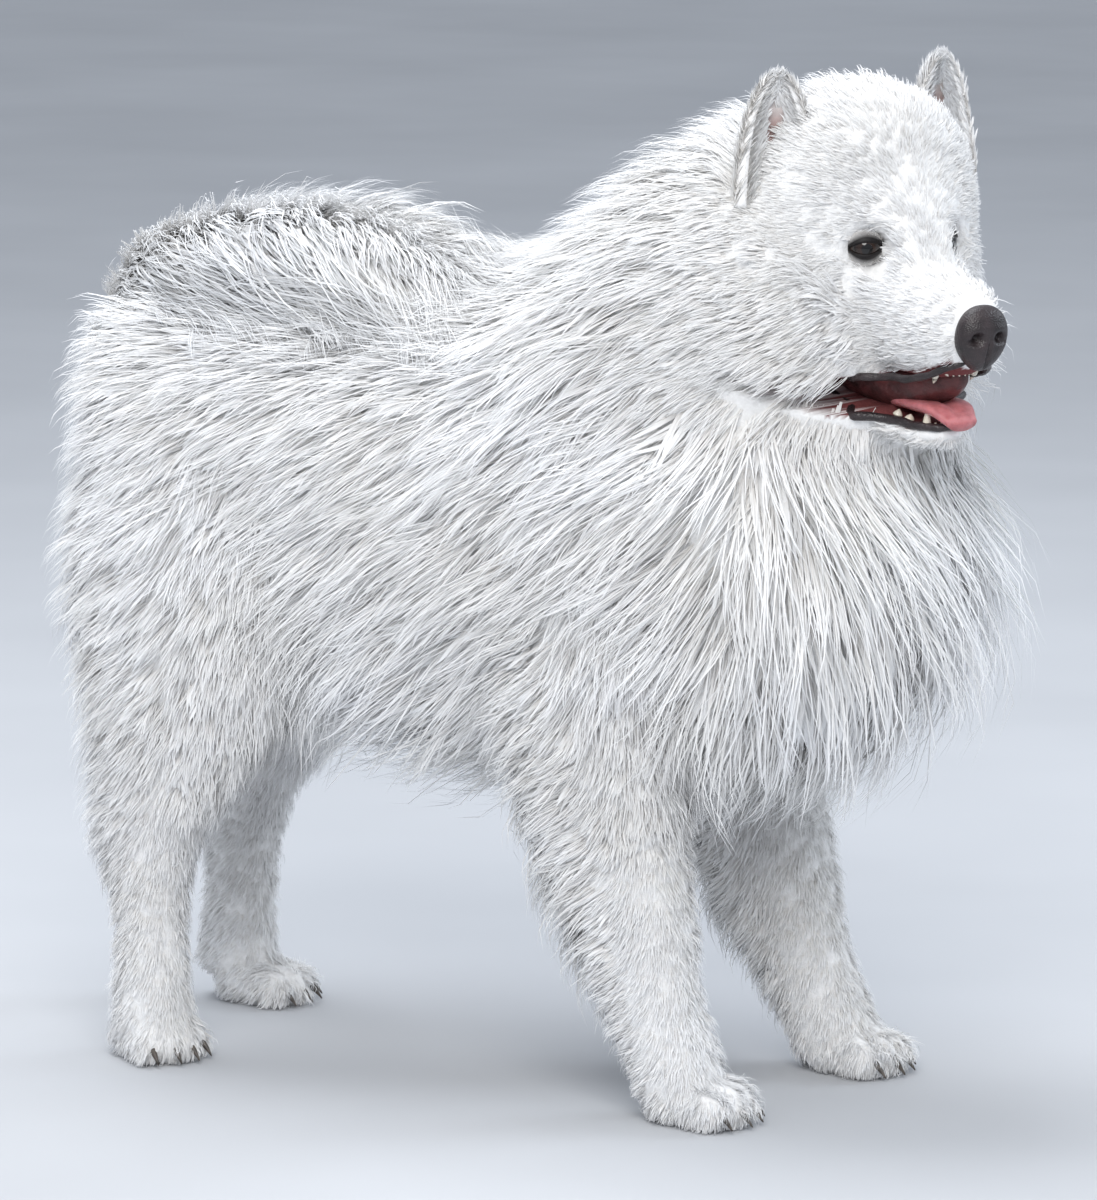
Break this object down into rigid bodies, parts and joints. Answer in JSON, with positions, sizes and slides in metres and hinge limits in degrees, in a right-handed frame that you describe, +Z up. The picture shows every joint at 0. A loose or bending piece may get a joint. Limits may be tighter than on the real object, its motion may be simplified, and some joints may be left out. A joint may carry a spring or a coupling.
{
  "type": "samoyed, standing model",
  "caption": "Life-size still model of a standing samoyed: thick white coat, ruff, head turned to its right, mouth open, plumed tail curled over the back.",
  "frame": {"origin": "on the floor, under the middle of the whole model's box", "axes": "+X the way the body faces, +Y the dog's left, +Z up"},
  "size_m": [0.7636, 0.3374, 0.7301],
  "materials": {
    "coat": "dense white hair with a woolly undercoat, cool in the light and warm grey in its shade",
    "leather": "moist pebbled dark brown leather",
    "eye": "wet dark brown",
    "tongue": "moist pink"
  },
  "bodies": {
    "root": {"eye_left": "eye", "eye_right": "eye", "nose": "leather", "tongue": "tongue", "head": "coat", "jaw": "coat", "ear_left": "coat", "ear_right": "coat", "tail": "coat", "neck": "coat", "torso": "coat", "fore_paw_right": "coat", "hind_paw_right": "coat", "foreleg_right": "coat", "hind_leg_right": "coat", "fore_paw_left": "coat", "hind_paw_left": "coat", "foreleg_left": "coat", "hind_leg_left": "coat"}
  },
  "joints": []
}
